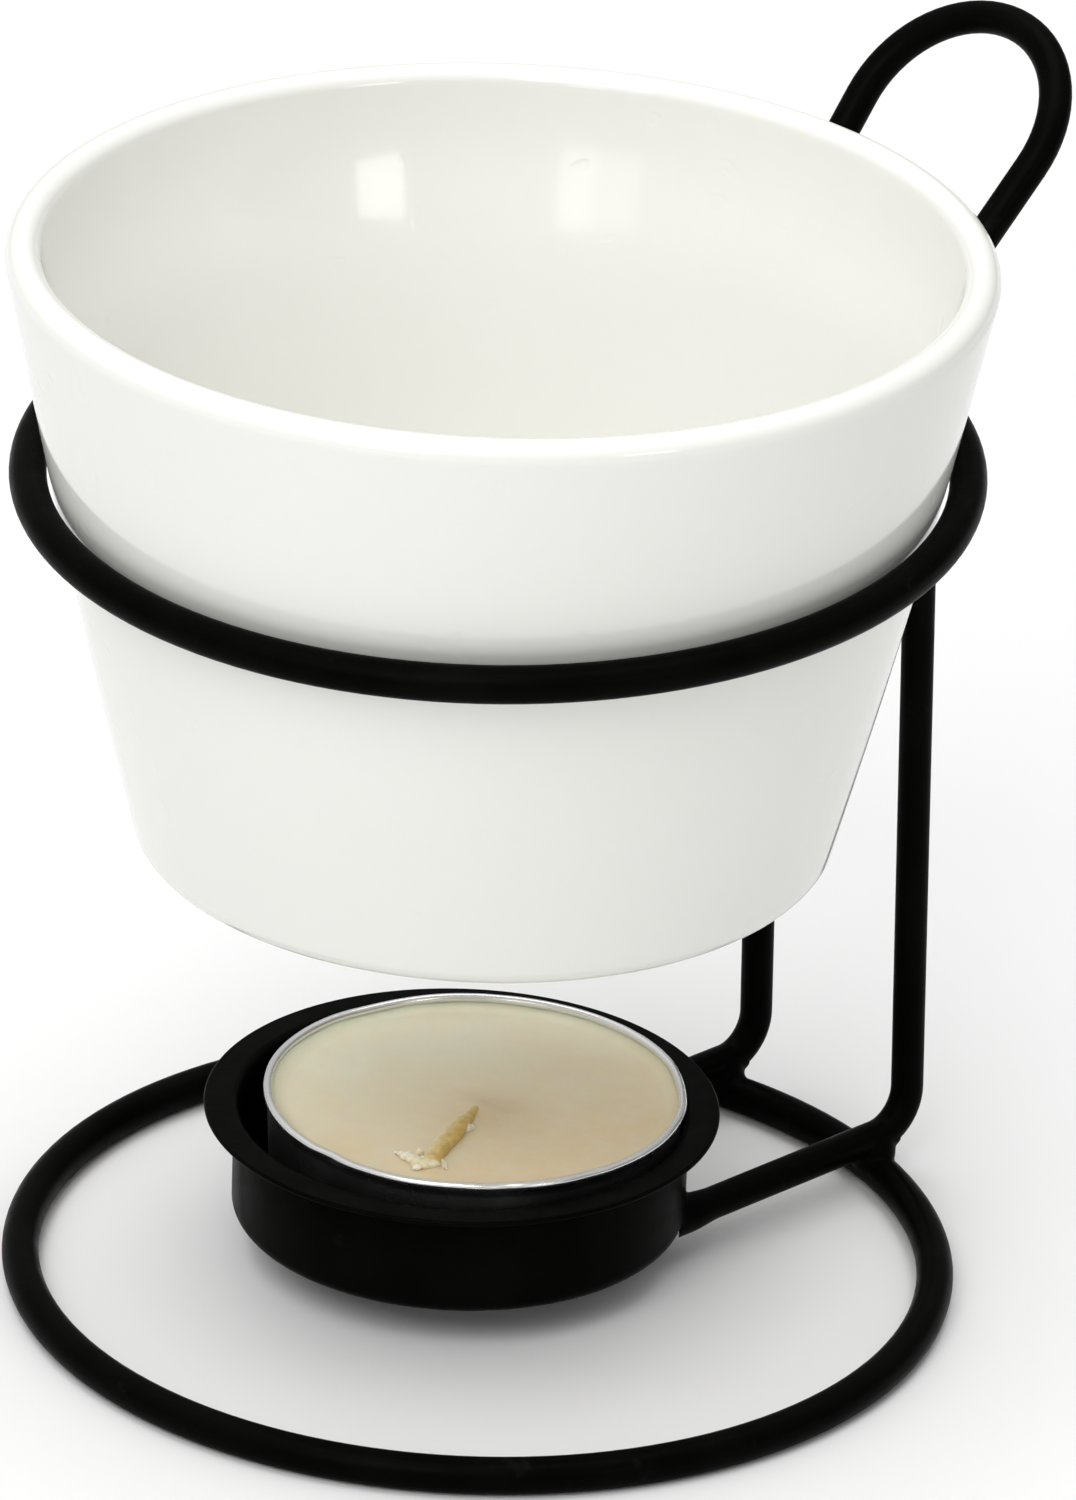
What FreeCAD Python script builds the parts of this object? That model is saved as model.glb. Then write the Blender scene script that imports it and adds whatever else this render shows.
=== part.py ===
import FreeCAD, Part
import math
import os

# A fondue mug: a glazed bowl in a bent-wire stand, over a tealight in a pressed metal cup.
# Millimetres. Origin at the centre of the base ring, on the table. +Z is up, +X is the handle side.

# Tealight, the one bought-in size that the rest follows
TEALIGHT_RIM_D = 39.2
TEALIGHT_RIM_BEAD_D = 0.8
TEALIGHT_HEIGHT = 12.1
TEALIGHT_SHEET = 0.25
TEALIGHT_TAPER = 0.5
TEALIGHT_FOOT_RADIUS = 1.2
TEALIGHT_DIMPLE_D = 26.0
TEALIGHT_DIMPLE_HEIGHT = 0.5
TEALIGHT_OFF_CENTRE_X = 1.06
TEALIGHT_OFF_CENTRE_Y = -0.63

# Wax, wick and the small disc that holds the wick up
WAX_BELOW_RIM = 1.25
WAX_MENISCUS = 0.45
WAX_MENISCUS_WIDTH = 1.6
WICK_D = 1.8
WICK_BEND_RADIUS = 1.5
WICK_LAID_LENGTH = 15.0
WICK_LAID_AZIMUTH = 209.0
WICK_FIT = 0.02
SUSTAINER_D = 12.5
SUSTAINER_SHEET = 0.25
SUSTAINER_NECK_WALL = 0.3
SUSTAINER_NECK_HEIGHT = 3.0

# Pressed cup that holds the tealight
CUP_SHEET = 0.5
CUP_TEALIGHT_GAP = 1.3
CUP_CORNER_RADIUS = 1.4
CUP_NECK_RADIUS = 0.8
CUP_FLANGE_WIDTH = 2.8
CUP_OUTER_HEIGHT = 11.05
CUP_CLEAR_OF_TABLE = 4.05
CUP_OFF_CENTRE_X = 1.6
CUP_OFF_CENTRE_Y = 4.5

# Stand wires
RING_WIRE_D = 3.4
FRAME_WIRE_D = 3.05
BASE_RING_CENTRE_D = 84.4
ARM_SPACING = 20.4
ARM_CORNER_BEND_RADIUS = 4.0
UPRIGHT_TOP_SPACING = 19.6
WELD_SET_IN = 0.4
WELD_BEAD_D = 4.0
WELD_BEAD_LIFT = 0.2
ARM_END_BEAD_D = 3.4

# Bowl ring, which sits a little askew
BOWL_RING_HEIGHT = 81.4
BOWL_RING_SHIFT_X = -1.0
BOWL_RING_TILT = 2.7
BOWL_RING_LOW_AZIMUTH = 199.0
BOWL_SEAT_CLEARANCE = 0.3

# Handle loop
LOOP_LEAN = 42.6
LOOP_BEND_RADIUS = 5.0
LOOP_BEND_ABOVE_RING = 3.9
LOOP_RADIUS = 11.0
LOOP_CENTRE_ALONG = 17.8

# Bowl
BOWL_FOOT_HEIGHT = 45.2
BOWL_HEIGHT = 58.0
BOWL_RIM_D = 88.4
BOWL_BASE_D = 62.9
BOWL_WALL = 3.2
BOWL_WALL_CURVE_RADIUS = 1140.0
BOWL_CORNER_RADIUS = 2.4
BOWL_FLOOR = 4.2
BOWL_FLOOR_CORNER_RADIUS = 12.0
BOWL_FOOT_RECESS_D = 46.0
BOWL_FOOT_RECESS_DEPTH = 0.9
BOWL_FOOT_RECESS_RADIUS = 1.6

UP = FreeCAD.Vector(0, 0, 1)
ring_wire_radius = RING_WIRE_D / 2
frame_wire_radius = FRAME_WIRE_D / 2


def vec(x, y, z):
    return FreeCAD.Vector(x, y, z)


def unit(vector):
    return vector.multiply(1 / vector.Length)


def polar(radius, degrees):
    angle = math.radians(degrees)
    return radius * math.cos(angle), radius * math.sin(angle)


def line(start, end):
    return Part.LineSegment(start, end).toShape()


def arc(start, middle, end):
    return Part.Arc(start, middle, end).toShape()


def turned(edges, centre_x=0.0, centre_y=0.0):
    """Solid turned about the vertical axis from a closed outline drawn in the XZ plane."""
    face = Part.Face(Part.Wire(edges))
    solid = face.revolve(vec(0, 0, 0), UP, 360)
    solid.translate(vec(centre_x, centre_y, 0))
    return solid


def outline(points):
    """Edges through (r, z) points. A point given as a pair of points is an arc's middle and end."""
    edges = []
    here = vec(points[0][0], 0, points[0][1])
    for point in points[1:]:
        if isinstance(point[0], tuple):
            middle, end = (vec(r, 0, z) for r, z in point)
            edges.append(arc(here, middle, end))
        else:
            end = vec(point[0], 0, point[1])
            edges.append(line(here, end))
        here = end
    return edges


def end_of(point):
    return point[1] if isinstance(point[0], tuple) else point


def backwards(points):
    """The same outline run the other way."""
    turned_round = [end_of(points[-1])]
    for point, before in zip(reversed(points), reversed(points[:-1])):
        if isinstance(point[0], tuple):
            turned_round.append((point[0], end_of(before)))
        else:
            turned_round.append(end_of(before))
    return turned_round


def on_circle(centre, radius, degrees):
    """Point of a circle in the (r, z) plane."""
    dr, dz = polar(radius, degrees)
    return centre[0] + dr, centre[1] + dz


def arc_on_circle(centre, radius, start, end):
    """Middle and end point of an arc that runs from the start angle to the end angle."""
    return on_circle(centre, radius, (start + end) / 2), on_circle(centre, radius, end)


def bend(before, corner, after, radius):
    """Start, middle and end of the arc that rounds a corner of a wire's centre line."""
    back = unit(before - corner)
    ahead = unit(after - corner)
    half_angle = back.getAngle(ahead) / 2
    reach = radius / math.tan(half_angle)
    inward = unit(back + ahead)
    centre = corner + inward * (radius / math.sin(half_angle))
    return corner + back * reach, centre - inward * radius, corner + ahead * reach


def rod_piece(edge, radius):
    """Round wire along one straight run or one arc."""
    start = edge.valueAt(edge.FirstParameter)
    ahead = edge.tangentAt(edge.FirstParameter)
    if edge.Curve.TypeId == "Part::GeomLine":
        return Part.makeCylinder(radius, edge.Length, start, ahead)
    section = Part.Face(Part.Wire(Part.makeCircle(radius, start, ahead)))
    turn = math.degrees(edge.Length / edge.Curve.Radius)
    return section.revolve(edge.Curve.Center, edge.Curve.Axis, turn)


def rod(edges, radius):
    """Round wire along a path of straight runs and tangent arcs."""
    pieces = [rod_piece(edge, radius) for edge in edges]
    return single(pieces[0].multiFuse(pieces[1:]).removeSplitter())


def ball(centre, diameter):
    """Round bead whose poles lie along X, inside the wires that it joins."""
    return Part.makeSphere(diameter / 2, centre, vec(1, 0, 0))


def single(shape):
    """The one solid that a cut or fused shape holds."""
    return shape.Solids[0]


# Bowl: where its wall is at a height


def bowl_wall_circle():
    """Centre (r, z) of the large circle that the bowl's outer wall follows."""
    lip_radius = BOWL_WALL / 2
    low = (BOWL_BASE_D / 2, BOWL_FOOT_HEIGHT)
    high = (BOWL_RIM_D / 2, BOWL_FOOT_HEIGHT + BOWL_HEIGHT - lip_radius)
    chord_r = high[0] - low[0]
    chord_z = high[1] - low[1]
    chord = math.hypot(chord_r, chord_z)
    inward = math.sqrt(BOWL_WALL_CURVE_RADIUS ** 2 - (chord / 2) ** 2)
    middle_r = (low[0] + high[0]) / 2
    middle_z = (low[1] + high[1]) / 2
    return middle_r - inward * chord_z / chord, middle_z + inward * chord_r / chord


def wall_centre(from_wall, height):
    """Centre r of a circle at a height whose edge touches the wall from inside, from_wall in from it."""
    centre_r, centre_z = bowl_wall_circle()
    reach = BOWL_WALL_CURVE_RADIUS - from_wall
    return centre_r + math.sqrt(reach ** 2 - (height - centre_z) ** 2)


def wall_angle(point):
    """Direction in degrees from the wall circle's centre to a point."""
    centre_r, centre_z = bowl_wall_circle()
    return math.degrees(math.atan2(point[1] - centre_z, point[0] - centre_r))


# Bowl ring: the bowl's wall passes through it and rests on it

bowl_wall_radius_at_ring = wall_centre(0, BOWL_RING_HEIGHT)
ring_slope = math.radians(wall_angle((bowl_wall_radius_at_ring, BOWL_RING_HEIGHT)))
bowl_ring_radius = bowl_wall_radius_at_ring + ring_wire_radius / math.cos(ring_slope) + BOWL_SEAT_CLEARANCE
tilt_slope = math.tan(math.radians(BOWL_RING_TILT)) * math.tan(-ring_slope)
low_x, low_y = polar(1.0, BOWL_RING_LOW_AZIMUTH)
bowl_x = BOWL_RING_SHIFT_X + bowl_ring_radius * tilt_slope * low_x
bowl_y = bowl_ring_radius * tilt_slope * low_y


def ring_plane_height(x, y):
    """Height of the tilted bowl ring's plane over a point of the table."""
    towards_low = (x - BOWL_RING_SHIFT_X) * low_x + y * low_y
    return BOWL_RING_HEIGHT - towards_low * math.tan(math.radians(BOWL_RING_TILT))


def make_bowl():
    """Glazed bowl with a full-round lip, a rounded floor and a shallow recess under its foot."""
    lip = BOWL_WALL / 2
    foot = BOWL_FOOT_HEIGHT
    floor = foot + BOWL_FLOOR
    recess_top = foot + BOWL_FOOT_RECESS_DEPTH
    recess_r = BOWL_FOOT_RECESS_D / 2
    centre = bowl_wall_circle()

    lip_centre = (wall_centre(lip, foot + BOWL_HEIGHT - lip), foot + BOWL_HEIGHT - lip)
    corner_centre = (wall_centre(BOWL_CORNER_RADIUS, foot + BOWL_CORNER_RADIUS), foot + BOWL_CORNER_RADIUS)
    inner_radius = BOWL_FLOOR_CORNER_RADIUS
    inner_centre = (wall_centre(BOWL_WALL + inner_radius, floor + inner_radius), floor + inner_radius)
    corner_angle = wall_angle(corner_centre)
    lip_angle = wall_angle(lip_centre)
    inner_angle = wall_angle(inner_centre)

    outer = BOWL_WALL_CURVE_RADIUS
    inner = outer - BOWL_WALL
    recess_side = recess_r - BOWL_FOOT_RECESS_RADIUS
    points = [
        (0, recess_top),
        (recess_side, recess_top),
        (recess_r, foot),
        (corner_centre[0], foot),
        arc_on_circle(corner_centre, BOWL_CORNER_RADIUS, -90, corner_angle),
        arc_on_circle(centre, outer, corner_angle, lip_angle),
        arc_on_circle(lip_centre, lip, lip_angle, 90),
        arc_on_circle(lip_centre, lip, 90, 180 + lip_angle),
        arc_on_circle(centre, inner, lip_angle, inner_angle),
        arc_on_circle(inner_centre, inner_radius, inner_angle, -90),
        (0, floor),
        (0, recess_top),
    ]
    return turned(outline(points), bowl_x, bowl_y)


# Rings


def make_base_ring():
    return Part.makeTorus(BASE_RING_CENTRE_D / 2, ring_wire_radius, vec(0, 0, ring_wire_radius), UP)


def make_bowl_ring():
    tilt = math.radians(BOWL_RING_TILT)
    normal = vec(math.sin(tilt) * low_x, math.sin(tilt) * low_y, math.cos(tilt))
    centre = vec(BOWL_RING_SHIFT_X, 0, BOWL_RING_HEIGHT)
    return Part.makeTorus(bowl_ring_radius, ring_wire_radius, centre, normal)


# Tealight and its cup

tealight_r = TEALIGHT_RIM_D / 2 - TEALIGHT_RIM_BEAD_D / 2
cup_floor = CUP_CLEAR_OF_TABLE + CUP_SHEET
cup_inner_r = tealight_r + CUP_TEALIGHT_GAP
cup_outer_r = cup_inner_r + CUP_SHEET
cup_top = CUP_CLEAR_OF_TABLE + CUP_OUTER_HEIGHT
tealight_x = CUP_OFF_CENTRE_X + TEALIGHT_OFF_CENTRE_X
tealight_y = CUP_OFF_CENTRE_Y + TEALIGHT_OFF_CENTRE_Y
tealight_top = cup_floor + TEALIGHT_HEIGHT
wax_top = tealight_top - WAX_BELOW_RIM


def make_cup_block():
    """The candle cup below its flange, filled in, which the arms' ends are cut to."""
    bottom = CUP_CLEAR_OF_TABLE
    corner_centre = (cup_outer_r - CUP_CORNER_RADIUS, bottom + CUP_CORNER_RADIUS)
    points = [
        (0, bottom),
        (corner_centre[0], bottom),
        arc_on_circle(corner_centre, CUP_CORNER_RADIUS, -90, 0),
        (cup_outer_r, cup_top),
        (0, cup_top),
        (0, bottom),
    ]
    return turned(outline(points), CUP_OFF_CENTRE_X, CUP_OFF_CENTRE_Y)


def make_candle_cup():
    """Pressed sheet cup: flat bottom, rolled corner, straight wall, and a flange turned out at the top."""
    bottom = CUP_CLEAR_OF_TABLE
    inner_corner = CUP_CORNER_RADIUS - CUP_SHEET
    corner_centre = (cup_outer_r - CUP_CORNER_RADIUS, bottom + CUP_CORNER_RADIUS)
    neck_centre = (cup_inner_r + CUP_NECK_RADIUS, cup_top - CUP_NECK_RADIUS)
    neck_under = CUP_NECK_RADIUS - CUP_SHEET
    edge_r = cup_outer_r + CUP_FLANGE_WIDTH
    edge_centre = (edge_r - CUP_SHEET / 2, cup_top - CUP_SHEET / 2)
    points = [
        (0, bottom),
        (corner_centre[0], bottom),
        arc_on_circle(corner_centre, CUP_CORNER_RADIUS, -90, 0),
        (cup_outer_r, neck_centre[1]),
        arc_on_circle(neck_centre, neck_under, 180, 90),
        (edge_centre[0], cup_top - CUP_SHEET),
        arc_on_circle(edge_centre, CUP_SHEET / 2, -90, 90),
        (neck_centre[0], cup_top),
        arc_on_circle(neck_centre, CUP_NECK_RADIUS, 90, 180),
        (cup_inner_r, corner_centre[1]),
        arc_on_circle(corner_centre, inner_corner, 0, -90),
        (0, cup_floor),
        (0, bottom),
    ]
    return turned(outline(points), CUP_OFF_CENTRE_X, CUP_OFF_CENTRE_Y)


def tealight_side(inset):
    """Side of the tealight's shell from the centre of its floor to its rim, set in from the outside."""
    floor = cup_floor + inset
    raised = floor + TEALIGHT_DIMPLE_HEIGHT
    dimple_r = TEALIGHT_DIMPLE_D / 2 + inset
    foot_centre = (tealight_r - TEALIGHT_TAPER - TEALIGHT_FOOT_RADIUS, cup_floor + TEALIGHT_FOOT_RADIUS)
    return [
        (0, raised),
        (dimple_r, raised),
        (dimple_r + TEALIGHT_DIMPLE_HEIGHT, floor),
        (foot_centre[0], floor),
        arc_on_circle(foot_centre, TEALIGHT_FOOT_RADIUS - inset, -90, 0),
        (tealight_r - inset, tealight_top - TEALIGHT_RIM_BEAD_D),
    ]


def make_tealight_shell():
    """Thin drawn shell with a raised floor, a slight taper and a rolled rim."""
    bead = TEALIGHT_RIM_BEAD_D / 2
    bead_centre = (tealight_r, tealight_top - bead)
    outer = tealight_side(0)
    rim = [
        arc_on_circle(bead_centre, bead, -90, 90),
        arc_on_circle(bead_centre, bead, 90, 180),
    ]
    points = outer + rim + backwards(tealight_side(TEALIGHT_SHEET)) + [outer[0]]
    return turned(outline(points), tealight_x, tealight_y)


def shell_inner_r(height):
    """Inner radius of the shell's tapered wall at a height."""
    low = cup_floor + TEALIGHT_FOOT_RADIUS
    high = tealight_top - TEALIGHT_RIM_BEAD_D
    return tealight_r - TEALIGHT_SHEET - TEALIGHT_TAPER * (high - height) / (high - low)


def make_wax():
    """Wax cast in the shell: it fills the floor and the wall, and its edge has crept up a little."""
    edge = (shell_inner_r(wax_top + WAX_MENISCUS), wax_top + WAX_MENISCUS)
    flat_r = edge[0] - WAX_MENISCUS_WIDTH
    hollow_radius = (WAX_MENISCUS_WIDTH ** 2 + WAX_MENISCUS ** 2) / (2 * WAX_MENISCUS)
    sweep = math.degrees(math.asin(WAX_MENISCUS_WIDTH / hollow_radius))
    middle = on_circle((flat_r, wax_top + hollow_radius), hollow_radius, sweep / 2 - 90)
    inside = tealight_side(TEALIGHT_SHEET)[:-1]
    points = inside + [edge, (middle, (flat_r, wax_top)), (0, wax_top), inside[0]]
    return turned(outline(points), tealight_x, tealight_y)


sustainer_floor = cup_floor + TEALIGHT_DIMPLE_HEIGHT + TEALIGHT_SHEET


def make_sustainer():
    """Small pressed disc on the shell's floor with a neck that grips the wick."""
    disc_top = sustainer_floor + SUSTAINER_SHEET
    bore_r = WICK_D / 2 + WICK_FIT
    neck_r = bore_r + SUSTAINER_NECK_WALL
    top = sustainer_floor + SUSTAINER_NECK_HEIGHT
    points = [
        (bore_r, sustainer_floor),
        (SUSTAINER_D / 2, sustainer_floor),
        (SUSTAINER_D / 2, disc_top),
        (neck_r + SUSTAINER_SHEET, disc_top),
        (neck_r, disc_top + SUSTAINER_SHEET),
        (neck_r, top),
        (bore_r, top),
        (bore_r, sustainer_floor),
    ]
    return turned(outline(points), tealight_x, tealight_y)


def make_wick():
    """Waxed wick: up through the neck and the wax, then folded over to lie on the wax."""
    lying = wax_top + WICK_D / 2 + WICK_FIT
    aim_x, aim_y = polar(1.0, WICK_LAID_AZIMUTH)
    foot = vec(tealight_x, tealight_y, sustainer_floor)
    knee = vec(tealight_x, tealight_y, lying)
    tip = knee + vec(aim_x, aim_y, 0) * WICK_LAID_LENGTH
    start, middle, end = bend(foot, knee, tip, WICK_BEND_RADIUS)
    return rod([line(foot, start), arc(start, middle, end), line(end, tip)], WICK_D / 2)


# Bent-wire frame


def cup_contact_x(y):
    """Where an arm's centre line meets the candle cup's wall."""
    across = y - CUP_OFF_CENTRE_Y
    return CUP_OFF_CENTRE_X + math.sqrt(cup_outer_r ** 2 - across ** 2)


arm_height = RING_WIRE_D + frame_wire_radius - WELD_SET_IN
upright_reach = bowl_ring_radius + ring_wire_radius + frame_wire_radius - WELD_SET_IN
upright_top_x = BOWL_RING_SHIFT_X + math.sqrt(upright_reach ** 2 - (UPRIGHT_TOP_SPACING / 2) ** 2)
ring_at_upright = ring_plane_height(upright_top_x, 0)
loop_bend_height = ring_at_upright + LOOP_BEND_ABOVE_RING
arm_corner_x = BASE_RING_CENTRE_D / 2 + ring_wire_radius + frame_wire_radius


def loop_point(across, along):
    """Point of the leaning plane that the handle loop lies in."""
    lean = math.radians(LOOP_LEAN)
    return vec(upright_top_x + along * math.sin(lean), across, loop_bend_height + along * math.cos(lean))


def loop_tangent():
    """Across and along, in the loop's plane, where a straight leg meets the loop's circle."""
    half = UPRIGHT_TOP_SPACING / 2
    spread = math.atan2(LOOP_CENTRE_ALONG, half) - math.acos(LOOP_RADIUS / math.hypot(half, LOOP_CENTRE_ALONG))
    return LOOP_RADIUS * math.cos(spread), LOOP_CENTRE_ALONG - LOOP_RADIUS * math.sin(spread)


def frame_side(side):
    """Centre line of one side of the frame, from the arm's end at the cup up to the loop's tangent point."""
    y = side * ARM_SPACING / 2
    arm_end = vec(cup_contact_x(y) - frame_wire_radius / 2, y, arm_height)
    corner = vec(arm_corner_x, y, arm_height)
    loop_bend = loop_point(side * UPRIGHT_TOP_SPACING / 2, 0)
    across, along = loop_tangent()
    leg_end = loop_point(side * across, along)
    low = bend(arm_end, corner, loop_bend, ARM_CORNER_BEND_RADIUS)
    high = bend(corner, loop_bend, leg_end, LOOP_BEND_RADIUS)
    return [arm_end, low, high, leg_end]


def frame_path():
    """The whole centre line: arm, upright, leg, round the loop, and back down the other side."""
    right_end, right_low, right_high, right_leg = frame_side(-1)
    left_end, left_low, left_high, left_leg = frame_side(1)
    tip = loop_point(0, LOOP_CENTRE_ALONG + LOOP_RADIUS)
    return [
        line(right_end, right_low[0]),
        arc(*right_low),
        line(right_low[2], right_high[0]),
        arc(*right_high),
        line(right_high[2], right_leg),
        arc(right_leg, tip, left_leg),
        line(left_leg, left_high[2]),
        arc(*reversed(left_high)),
        line(left_high[0], left_low[2]),
        arc(*reversed(left_low)),
        line(left_low[0], left_end),
    ]


def weld_beads():
    """Small beads where the wire is welded to the base ring, the cup and the bowl ring."""
    beads = []
    for side in (-1, 1):
        y = side * ARM_SPACING / 2
        ring_x = math.sqrt((BASE_RING_CENTRE_D / 2) ** 2 - y ** 2)
        beads.append(ball(vec(ring_x, y, RING_WIRE_D - WELD_SET_IN + WELD_BEAD_LIFT), WELD_BEAD_D))
        beads.append(ball(vec(cup_contact_x(y), y, arm_height), ARM_END_BEAD_D))
        top_y = side * UPRIGHT_TOP_SPACING / 2
        between = bowl_ring_radius + ring_wire_radius - WELD_SET_IN / 2 + WELD_BEAD_LIFT
        outward = math.asin(top_y / upright_reach)
        bead_x = BOWL_RING_SHIFT_X + between * math.cos(outward)
        beads.append(ball(vec(bead_x, between * math.sin(outward), ring_at_upright), WELD_BEAD_D))
    return beads


def make_handle_frame(base_ring, bowl_ring):
    """One wire bent into arms, uprights and loop, cut to seat on the rings and the cup."""
    frame = rod(frame_path(), frame_wire_radius).multiFuse(weld_beads())
    return single(frame.cut(make_cup_block()).cut(base_ring).cut(bowl_ring))


def make_all():
    base_ring = make_base_ring()
    bowl_ring = make_bowl_ring()
    wick = make_wick()
    sustainer = make_sustainer()
    return {
        "bowl": make_bowl(),
        "base_ring": base_ring,
        "bowl_ring": bowl_ring,
        "handle_frame": make_handle_frame(base_ring, bowl_ring),
        "candle_cup": make_candle_cup(),
        "tealight_shell": make_tealight_shell(),
        "candle_wax": single(make_wax().cut(wick).cut(sustainer)),
        "wick": wick,
        "wick_sustainer": sustainer,
    }


os.makedirs("parts", exist_ok=True)
for name, shape in make_all().items():
    shape.exportStep("parts/" + name + ".step")
    print(name, shape.ShapeType, len(shape.Solids), shape.isValid(), round(shape.Volume, 2))
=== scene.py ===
import math
from collections import namedtuple

import bmesh
import bpy
from mathutils import Matrix, Vector, noise


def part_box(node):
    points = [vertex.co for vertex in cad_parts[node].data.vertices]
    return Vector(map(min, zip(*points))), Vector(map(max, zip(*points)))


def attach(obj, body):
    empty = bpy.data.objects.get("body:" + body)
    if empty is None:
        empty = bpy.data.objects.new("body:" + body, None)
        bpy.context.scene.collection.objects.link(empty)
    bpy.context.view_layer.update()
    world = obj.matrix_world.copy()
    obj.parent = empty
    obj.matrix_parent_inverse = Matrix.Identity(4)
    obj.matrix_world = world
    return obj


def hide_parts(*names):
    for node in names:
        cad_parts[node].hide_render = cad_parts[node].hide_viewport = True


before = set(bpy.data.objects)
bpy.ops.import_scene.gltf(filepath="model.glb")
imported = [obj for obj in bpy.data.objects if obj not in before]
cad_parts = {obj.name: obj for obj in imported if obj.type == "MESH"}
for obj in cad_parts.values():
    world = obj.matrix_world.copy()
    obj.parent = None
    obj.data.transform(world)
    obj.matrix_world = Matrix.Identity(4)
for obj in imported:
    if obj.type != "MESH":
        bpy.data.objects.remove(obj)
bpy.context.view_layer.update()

MM = 0.001

# Camera: where the photograph was taken from, in millimetres and degrees
CAMERA_AZIMUTH = -43.9
CAMERA_BACK = 972.7
CAMERA_HEIGHT = 513.7
CAMERA_TURN = 0.223
CAMERA_PITCH = 25.325
CAMERA_ROLL = 2.175
LENS = 285.65

# Tealight, in millimetres: what its detailed pieces share with the solids
SHELL_BEAD = 0.4
SHELL_SHEET = 0.25
SHELL_TAPER = 0.5
SHELL_FOOT_RADIUS = 1.2
SHELL_DIMPLE_RADIUS = 13.0
SHELL_DIMPLE_HEIGHT = 0.5
WAX_MENISCUS = 0.45
WAX_MENISCUS_WIDTH = 1.6

# Wick as the photograph shows it, in millimetres and degrees. Its offset is from the tealight's centre
WICK_AZIMUTH = 208.0
WICK_LENGTH = 14.6
WICK_WIDTH = 1.9
WICK_OFFSET = (0.53, -0.52)
WICK_FIBRES = 22

# Wax surface, in millimetres: the ridge that the wick is stuck into, and a shallow dish
WAX_RIDGE = 0.34
WAX_RIDGE_WIDTH = 1.25
WAX_DISH = 0.14
WAX_DISH_RADIUS = 5.5

# Wax crumbs, in millimetres: way along the wick, way to its left, half width and half height
WAX_CRUMBS = (
    (13.5, 3.2, 0.46, 0.26),
    (13.9, 2.5, 0.68, 0.38),
    (14.3, 1.9, 0.70, 0.44),
    (14.8, 1.2, 0.72, 0.44),
    (15.0, 0.4, 0.68, 0.46),
    (14.6, -0.2, 0.64, 0.46),
    (14.1, -0.65, 0.42, 0.28),
    (15.5, 1.0, 0.52, 0.28),
    (6.9, -0.75, 0.56, 0.50),
    (6.3, -1.05, 0.34, 0.30),
    (13.4, 3.8, 0.24, 0.12),
    (13.2, 1.6, 0.40, 0.50),
)

# Bowl, in millimetres and degrees: what its detailed piece shares with the solid
BOWL_BASE_RADIUS = 31.45
BOWL_WALL = 3.2
BOWL_BULGE = 0.37
BOWL_CORNER = 2.4
BOWL_FLOOR = 4.2
BOWL_FLOOR_CORNER = 12.0
BOWL_RECESS_RADIUS = 23.0
BOWL_RECESS_EDGE = 1.6
BOWL_RECESS_DEPTH = 0.9

# Bowl's shoulder inside, in millimetres and degrees, which only the detailed piece has
SHOULDER_BELOW_RIM = 10.1
SHOULDER_SPREAD = 5.0
SHOULDER_SLOPE = 6.5

# Stand, in millimetres and degrees: the centre lines that the weld fillets follow
RING_WIRE = 3.4
FRAME_WIRE = 3.05
WELD_SET_IN = 0.4
BASE_RING_RADIUS = 42.2
ARM_ACROSS = 10.2
UPRIGHT_ACROSS = 9.8
BOWL_RING_HEIGHT = 81.4
BOWL_RING_SHIFT_X = -1.0
BOWL_RING_TILT = 2.7
BOWL_RING_LOW_AZIMUTH = 199.0
CUP_FLANGE = 2.8
ARM_HEIGHT = RING_WIRE + FRAME_WIRE / 2 - WELD_SET_IN

# Weld fillets, in millimetres, and the rounds of smoothing that each kind gets
WELD_REACH = 4.5
BASE_BEAD = 2.3
RING_BEAD = 2.25
RING_WELD_VOXEL = 0.17
RING_WELD_ROUNDS = 26
CUP_FLARE = 0.30
CUP_WELD_DEPTH = 0.45
CUP_PATCH_HALF = 3.6
CUP_PATCH_RISE = 3.2
CUP_WELD_VOXEL = 0.15
CUP_WELD_ROUNDS = 10

# Sky: the side that it brightens towards, how far along it the sky starts to brighten, and its
# radiance away from there and there
SKY_SIDE = (-0.22, 0.21, 0.953)
SKY_START = -0.35
SKY_DIM = 0.02
SKY_BRIGHT = 0.90

# Lights: the point that they are aimed at, in metres
LIGHT_AIM = (0, 0, 0.06)

# Rim dents: azimuth, width in degrees, depth in millimetres
RIM_DENTS = (
    (-178, 5, 0.30),
    (-150, 9, -0.12),
    (-125, 4, 0.22),
    (-101, 4, 0.16),
    (-38, 10, 0.12),
    (75, 12, 0.15),
)


def camera():
    """Camera at the photograph's place, turned and rolled as the photograph shows."""
    away = math.radians(CAMERA_AZIMUTH)
    azimuth = math.radians(CAMERA_AZIMUTH - CAMERA_TURN)
    pitch = math.radians(CAMERA_PITCH)
    roll = math.radians(CAMERA_ROLL)
    level_right = Vector((math.cos(azimuth), math.sin(azimuth), 0))
    level_ahead = Vector((-math.sin(azimuth), math.cos(azimuth), 0))
    ahead = level_ahead * math.cos(pitch) - Vector((0, 0, math.sin(pitch)))
    level_up = level_right.cross(ahead)
    right = level_right * math.cos(roll) + level_up * math.sin(roll)
    up = level_up * math.cos(roll) - level_right * math.sin(roll)
    place = Vector((math.sin(away) * CAMERA_BACK, -math.cos(away) * CAMERA_BACK, CAMERA_HEIGHT)) * MM
    data = bpy.data.cameras.new("camera")
    data.lens = LENS
    data.sensor_width = 36
    data.clip_start = 0.01
    data.clip_end = 20
    holder = bpy.data.objects.new("camera", data)
    turn = Matrix((right, up, -ahead)).transposed().to_4x4()
    holder.matrix_world = Matrix.Translation(place) @ turn
    bpy.context.scene.collection.objects.link(holder)
    bpy.context.scene.camera = holder


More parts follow.
